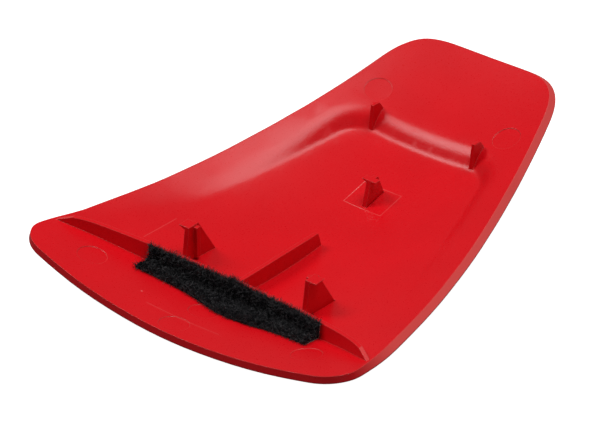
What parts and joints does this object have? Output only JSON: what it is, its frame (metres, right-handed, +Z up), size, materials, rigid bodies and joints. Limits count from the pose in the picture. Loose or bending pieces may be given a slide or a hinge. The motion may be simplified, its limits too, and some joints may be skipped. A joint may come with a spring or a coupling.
{
  "type": "clip-on cover panel",
  "caption": "Curved moulded plastic cover panel shown inner side up, with barbed snap catches, locating prongs, stiffening ribs and a pile strip along its wide end.",
  "frame": {"origin": "on the surface the panel lies on, under the middle of its bounding box", "axes": "+Z up with the inner side up, +Y from the wide front lip to the narrow rear end, +X across to the right seen from the front lip"},
  "size_m": [0.1338, 0.177, 0.0338],
  "materials": {
    "shell_red": "satin moulded",
    "tape_adhesive": "translucent acrylic adhesive",
    "tape_backing": "woven nylon",
    "tape_pile": "brushed nylon loop pile"
  },
  "bodies": {
    "panel": {"cover_panel": "shell_red", "strip_adhesive": "tape_adhesive", "strip_backing": "tape_backing", "strip_pile": "tape_pile"},
    "catch_front_left": {"hook_front_left": "shell_red"},
    "catch_front_right": {"hook_front_right": "shell_red"},
    "catch_centre": {"hook_centre": "shell_red"}
  },
  "joints": [
    {"name": "front_left_catch_flex", "type": "hinge", "parent": "panel", "child": "catch_front_left", "pos_m": [-0.0251, -0.0482, 0.00675], "axis": [0, 0.9968, -0.0794], "range_deg": [0, 6], "stiffness_Nm_per_rad": 2.9},
    {"name": "front_right_catch_flex", "type": "hinge", "parent": "panel", "child": "catch_front_right", "pos_m": [0.0251, -0.0482, 0.00675], "axis": [0, 0.9968, -0.0794], "range_deg": [-6, 0], "stiffness_Nm_per_rad": 2.9},
    {"name": "centre_catch_flex", "type": "hinge", "parent": "panel", "child": "catch_centre", "pos_m": [0, 0.01499, 0.0072], "axis": [0, 0.9838, 0.1791], "range_deg": [-3, 3], "stiffness_Nm_per_rad": 2.9}
  ]
}
